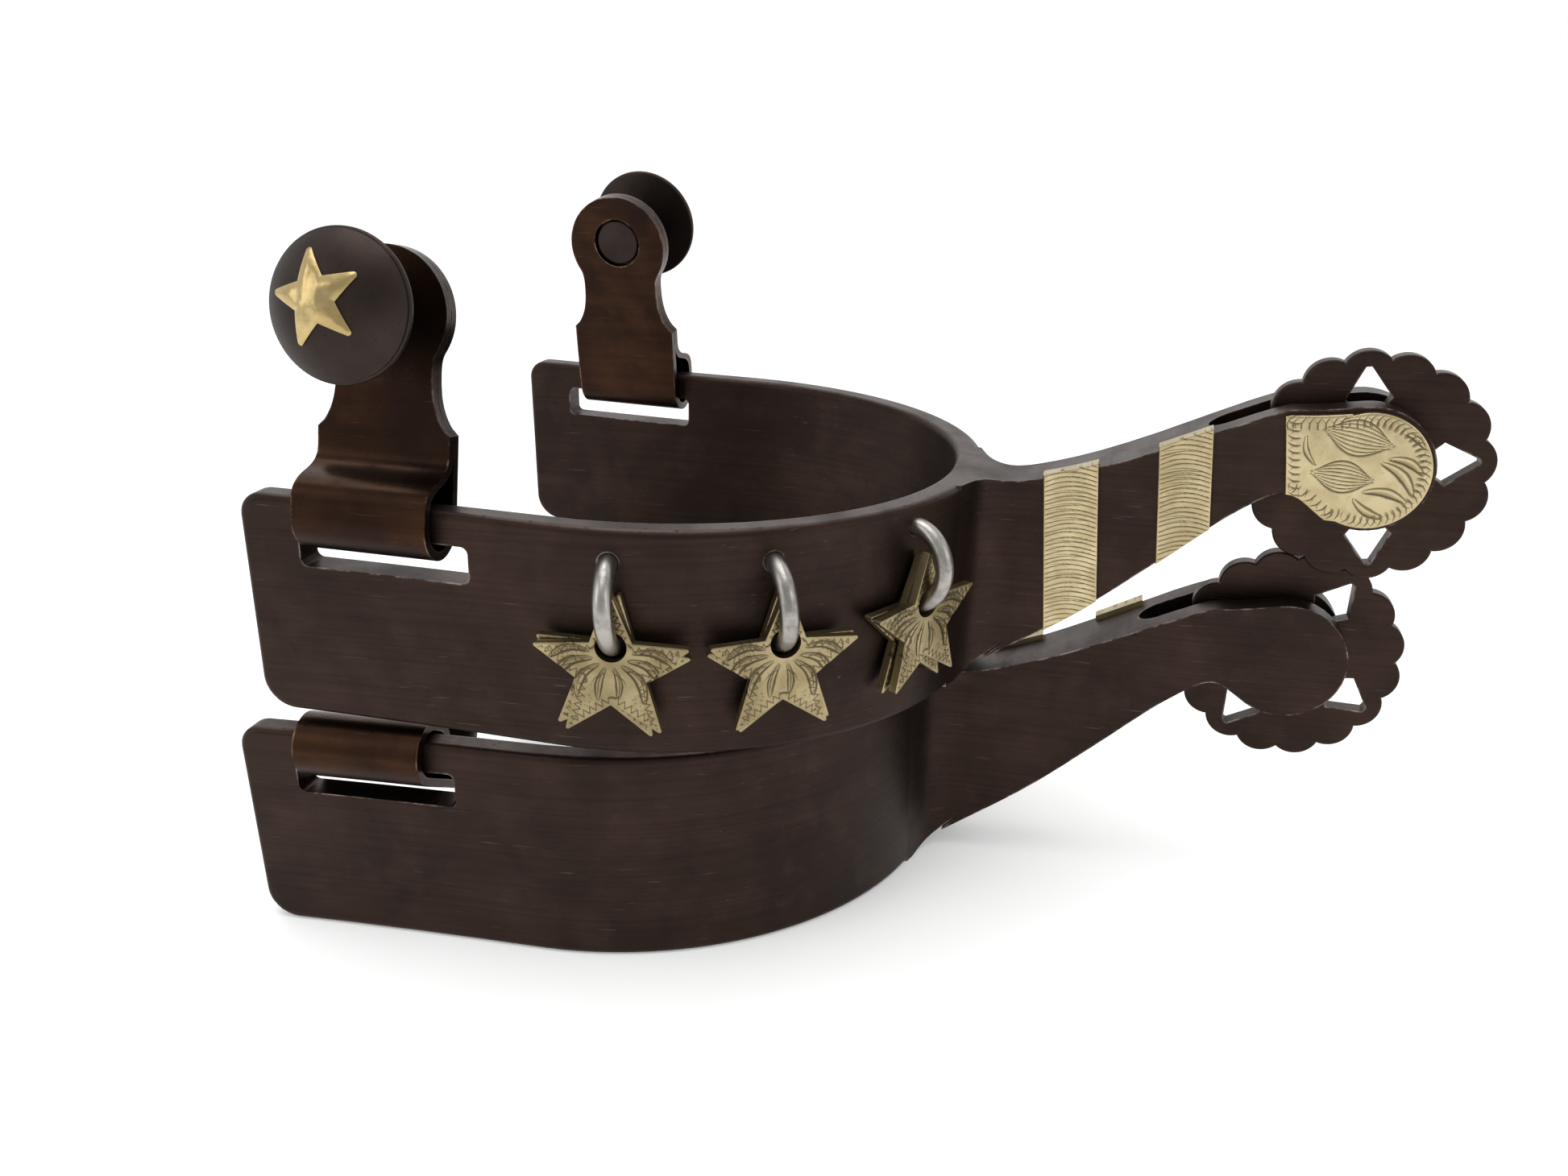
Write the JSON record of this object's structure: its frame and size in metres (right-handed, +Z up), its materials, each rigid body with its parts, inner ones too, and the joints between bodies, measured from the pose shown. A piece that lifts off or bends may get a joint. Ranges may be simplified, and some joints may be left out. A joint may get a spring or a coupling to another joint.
{
  "type": "pair of western spurs",
  "caption": "Pair of stacked western show spurs with heel bands, forked shanks, scalloped rowels, buttoned strap hangers and hanging engraved stars.",
  "frame": {"origin": "on the right spur's lower edge, in the middle of the band's wall at the back of the heel", "axes": "+X from the heel out along the shank to the rowel, +Z up, boots enter from -X, so -Y is the inner side of the right spur and the outer, decorated side of the left one"},
  "size_m": [0.1617, 0.1041, 0.0973],
  "materials": {
    "browned_steel": "oil-browned satin steel with worn edges",
    "bronzed_strap_steel": "warm brown satin strap steel",
    "dark_button_steel": "dark brown satin, slightly pitted",
    "bright_nickel_wire": "bright drawn nickel wire",
    "polished_brass_silver": "soft polished pale brass",
    "engraved_nickel_silver": "hand-engraved champagne nickel silver",
    "engraved_overlay_silver": "bright-cut engraved champagne nickel silver"
  },
  "bodies": {
    "right_spur": {"right_heel_band": "browned_steel", "right_rowel_pin": "browned_steel", "right_rowel_cap": "engraved_overlay_silver", "right_shank_strip_front": "engraved_overlay_silver", "right_shank_strip_rear": "engraved_overlay_silver", "right_star_staple_1": "bright_nickel_wire", "right_star_staple_2": "bright_nickel_wire", "right_star_staple_3": "bright_nickel_wire"},
    "right_rowel_wheel": {"right_rowel": "browned_steel"},
    "right_outer_hanger_set": {"right_outer_hanger": "bronzed_strap_steel", "right_outer_button": "dark_button_steel", "right_outer_button_rivet": "dark_button_steel", "right_outer_button_star": "polished_brass_silver"},
    "right_inner_hanger_set": {"right_inner_hanger": "bronzed_strap_steel", "right_inner_button": "dark_button_steel", "right_inner_button_rivet": "dark_button_steel", "right_inner_button_star": "polished_brass_silver"},
    "right_star_1_back_plate": {"right_star_1_back": "engraved_nickel_silver"},
    "right_star_1_front_plate": {"right_star_1_front": "engraved_nickel_silver"},
    "right_star_2_back_plate": {"right_star_2_back": "engraved_nickel_silver"},
    "right_star_2_front_plate": {"right_star_2_front": "engraved_nickel_silver"},
    "right_star_3_back_plate": {"right_star_3_back": "engraved_nickel_silver"},
    "right_star_3_front_plate": {"right_star_3_front": "engraved_nickel_silver"},
    "left_spur": {"left_heel_band": "browned_steel", "left_rowel_pin": "browned_steel", "left_rowel_cap": "engraved_overlay_silver", "left_shank_strip_front": "engraved_overlay_silver", "left_shank_strip_rear": "engraved_overlay_silver", "left_star_staple_1": "bright_nickel_wire", "left_star_staple_2": "bright_nickel_wire", "left_star_staple_3": "bright_nickel_wire"},
    "left_rowel_wheel": {"left_rowel": "browned_steel"},
    "left_outer_hanger_set": {"left_outer_hanger": "bronzed_strap_steel", "left_outer_button": "dark_button_steel", "left_outer_button_rivet": "dark_button_steel", "left_outer_button_star": "polished_brass_silver"},
    "left_inner_hanger_set": {"left_inner_hanger": "bronzed_strap_steel", "left_inner_button": "dark_button_steel", "left_inner_button_rivet": "dark_button_steel", "left_inner_button_star": "polished_brass_silver"},
    "left_star_1_back_plate": {"left_star_1_back": "engraved_nickel_silver"},
    "left_star_1_front_plate": {"left_star_1_front": "engraved_nickel_silver"},
    "left_star_2_back_plate": {"left_star_2_back": "engraved_nickel_silver"},
    "left_star_2_front_plate": {"left_star_2_front": "engraved_nickel_silver"},
    "left_star_3_back_plate": {"left_star_3_back": "engraved_nickel_silver"},
    "left_star_3_front_plate": {"left_star_3_front": "engraved_nickel_silver"}
  },
  "joints": [
    {"name": "left_spur_lift", "type": "slide", "parent": "right_spur", "child": "left_spur", "axis": [0, 0, 1], "range_m": [0, 0.08]},
    {"name": "right_rowel_spin", "type": "hinge", "parent": "right_spur", "child": "right_rowel_wheel", "pos_m": [0.0527, 0, 0.0353], "axis": [0, -1, 0], "continuous": true},
    {"name": "right_outer_hanger_fold", "type": "hinge", "parent": "right_spur", "child": "right_outer_hanger_set", "pos_m": [-0.0666, 0.04309, 0.0275], "axis": [0.9996, -0.0277, 0], "range_deg": [-28, 0]},
    {"name": "right_inner_hanger_fold", "type": "hinge", "parent": "right_spur", "child": "right_inner_hanger_set", "pos_m": [-0.0685, -0.04314, 0.0275], "axis": [-0.9996, -0.0277, 0], "range_deg": [-28, 0]},
    {"name": "right_star_1_back_swing", "type": "hinge", "parent": "right_spur", "child": "right_star_1_back_plate", "pos_m": [-0.03628, 0.04445, 0.01542], "axis": [0.17, 0.9854, 0], "range_deg": [-24, 24]},
    {"name": "right_star_1_front_swing", "type": "hinge", "parent": "right_spur", "child": "right_star_1_front_plate", "pos_m": [-0.03602, 0.04593, 0.01605], "axis": [0.17, 0.9854, 0], "range_deg": [-24, 24]},
    {"name": "right_star_2_back_swing", "type": "hinge", "parent": "right_spur", "child": "right_star_2_back_plate", "pos_m": [-0.01744, 0.03678, 0.01542], "axis": [0.5564, 0.8309, 0], "range_deg": [-24, 24]},
    {"name": "right_star_2_front_swing", "type": "hinge", "parent": "right_spur", "child": "right_star_2_front_plate", "pos_m": [-0.0166, 0.03803, 0.01605], "axis": [0.5564, 0.8309, 0], "range_deg": [-24, 24]},
    {"name": "right_star_3_back_swing", "type": "hinge", "parent": "right_spur", "child": "right_star_3_back_plate", "pos_m": [-0.0033, 0.02155, 0.01672], "axis": [0.8707, 0.4919, 0], "range_deg": [-24, 24]},
    {"name": "right_star_3_front_swing", "type": "hinge", "parent": "right_spur", "child": "right_star_3_front_plate", "pos_m": [-0.00199, 0.02229, 0.01735], "axis": [0.8707, 0.4919, 0], "range_deg": [-24, 24]},
    {"name": "left_rowel_spin", "type": "hinge", "parent": "left_spur", "child": "left_rowel_wheel", "pos_m": [0.05935, -0.00308, 0.06399], "axis": [0.0201, 0.9998, 0], "continuous": true},
    {"name": "left_outer_hanger_fold", "type": "hinge", "parent": "left_spur", "child": "left_outer_hanger_set", "pos_m": [-0.0634, -0.04378, 0.06066], "axis": [-0.9993, -0.0077, 0.0366], "range_deg": [-142, 108]},
    {"name": "left_inner_hanger_fold", "type": "hinge", "parent": "left_spur", "child": "left_inner_hanger_set", "pos_m": [-0.05886, 0.04238, 0.06096], "axis": [0.9982, -0.0478, -0.0366], "range_deg": [-142, 108]},
    {"name": "left_star_1_back_swing", "type": "hinge", "parent": "left_spur", "child": "left_star_1_back_plate", "pos_m": [-0.03117, -0.04573, 0.04739], "axis": [0.1501, -0.9887, -0.0062], "range_deg": [-24, 24]},
    {"name": "left_star_1_front_swing", "type": "hinge", "parent": "left_spur", "child": "left_star_1_front_plate", "pos_m": [-0.03093, -0.04721, 0.04801], "axis": [0.1501, -0.9887, -0.0062], "range_deg": [-24, 24]},
    {"name": "left_star_2_back_swing", "type": "hinge", "parent": "left_spur", "child": "left_star_2_back_plate", "pos_m": [-0.0122, -0.03843, 0.0467], "axis": [0.5392, -0.8419, -0.0204], "range_deg": [-24, 24]},
    {"name": "left_star_2_front_swing", "type": "hinge", "parent": "left_spur", "child": "left_star_2_front_plate", "pos_m": [-0.01136, -0.0397, 0.0473], "axis": [0.5392, -0.8419, -0.0204], "range_deg": [-24, 24]},
    {"name": "left_star_3_back_swing", "type": "hinge", "parent": "left_spur", "child": "left_star_3_back_plate", "pos_m": [0.00228, -0.02349, 0.04748], "axis": [0.86, -0.5092, -0.0319], "range_deg": [-24, 24]},
    {"name": "left_star_3_front_swing", "type": "hinge", "parent": "left_spur", "child": "left_star_3_front_plate", "pos_m": [0.0036, -0.02426, 0.04806], "axis": [0.86, -0.5092, -0.0319], "range_deg": [-24, 24]}
  ]
}
